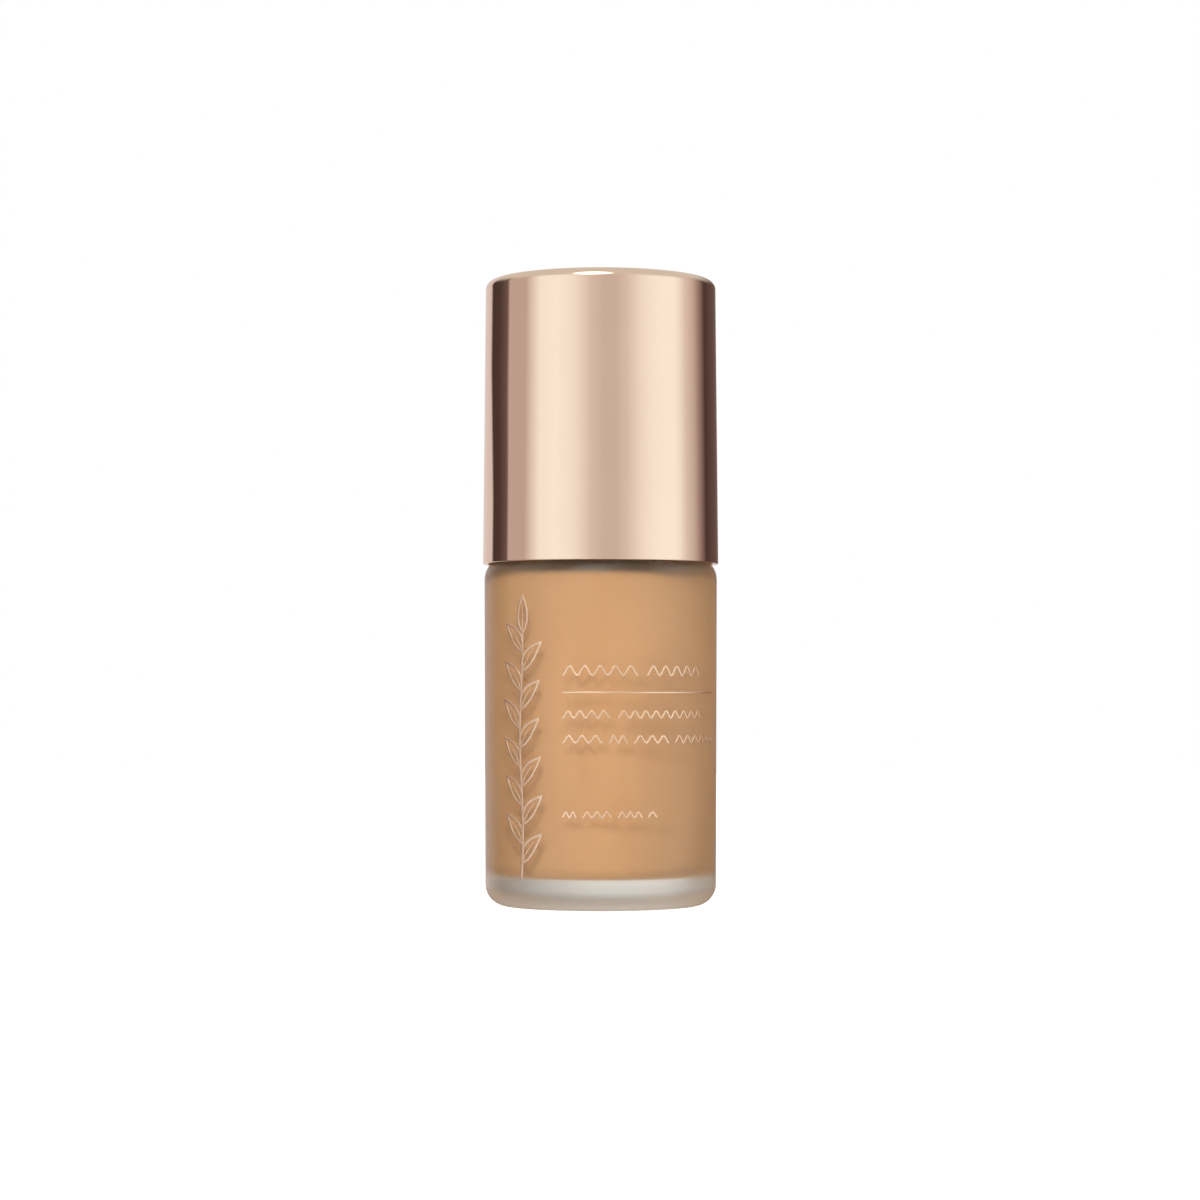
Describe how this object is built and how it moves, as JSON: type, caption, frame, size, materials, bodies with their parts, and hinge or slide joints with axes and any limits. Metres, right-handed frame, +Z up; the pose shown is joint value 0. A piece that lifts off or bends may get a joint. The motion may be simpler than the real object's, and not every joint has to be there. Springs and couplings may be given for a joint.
{
  "type": "foundation bottle",
  "caption": "Round frosted glass bottle of liquid foundation with a screw-on treatment pump and a tall, glossy rose-gold pull-off overcap.",
  "frame": {"origin": "centre of the ring that the bottle stands on, in the plane of the table", "axes": "+Z up along the bottle's axis; -Y towards the front, where the foil artwork and the spout face; +X to the right of someone looking at the front"},
  "size_m": [0.0354, 0.0354, 0.0938],
  "materials": {
    "frosted_glass": "acid-frosted outside, clear inside",
    "foundation": "opaque wet liquid",
    "label_paper": "matte white sticker",
    "rose_gold_foil": "hot-stamped foil",
    "natural_plastic": "natural moulded plastic",
    "seal_plastic": "soft translucent polyethylene",
    "stainless_steel": "bright drawn steel",
    "rose_gold_aluminium": "mirror-bright anodised",
    "rose_gold_plastic": "metallised"
  },
  "bodies": {
    "bottle": {"glass_bottle": "frosted_glass", "foundation_liquid": "foundation", "shade_label": "label_paper", "foil_sprig": "rose_gold_foil", "foil_bars": "rose_gold_foil"},
    "pump": {"pump_housing": "natural_plastic", "housing_cover": "natural_plastic", "neck_gasket": "seal_plastic", "dip_tube": "natural_plastic", "return_spring": "stainless_steel"},
    "collar": {"screw_collar": "natural_plastic", "collar_sleeve": "rose_gold_aluminium"},
    "stem": {"pump_stem": "natural_plastic", "stem_core": "natural_plastic"},
    "piston": {"piston_seal": "seal_plastic"},
    "valve_ball": {"inlet_ball": "stainless_steel"},
    "button": {"actuator_core": "natural_plastic", "actuator_shell": "rose_gold_aluminium", "nozzle_insert": "rose_gold_plastic"},
    "overcap": {"cap_shell": "rose_gold_aluminium", "cap_liner": "natural_plastic"}
  },
  "joints": [
    {"name": "pump_lift", "type": "slide", "parent": "bottle", "child": "pump", "axis": [0, 0, 1], "range_m": [0, 0.00476]},
    {"name": "collar_turn", "type": "hinge", "parent": "pump", "child": "collar", "pos_m": [0, 0, 0.06], "axis": [0, 0, 1], "range_deg": [0, 541]},
    {"name": "pump_stroke", "type": "slide", "parent": "pump", "child": "stem", "axis": [0, 0, -1], "range_m": [0, 0.0045], "stiffness_N_per_m": 2000, "springref_m": -0.002, "deforming": ["return_spring"]},
    {"name": "piston_follow", "type": "slide", "parent": "pump", "child": "piston", "axis": [0, 0, -1], "range_m": [0, 0.0038]},
    {"name": "valve_lift", "type": "slide", "parent": "pump", "child": "valve_ball", "axis": [0, 0, 1], "range_m": [0, 0.001]},
    {"name": "button_swivel", "type": "hinge", "parent": "stem", "child": "button", "pos_m": [0, 0, 0.08], "axis": [0, 0, 1], "continuous": true},
    {"name": "overcap_pull", "type": "slide", "parent": "collar", "child": "overcap", "axis": [0, 0, 1], "range_m": [0, 0.045]}
  ],
  "couplings": [
    {"joint": "collar_turn", "follows": "pump_lift", "rad_per_m": 1979},
    {"joint": "piston_follow", "follows": "pump_stroke", "ratio": 0.82}
  ]
}
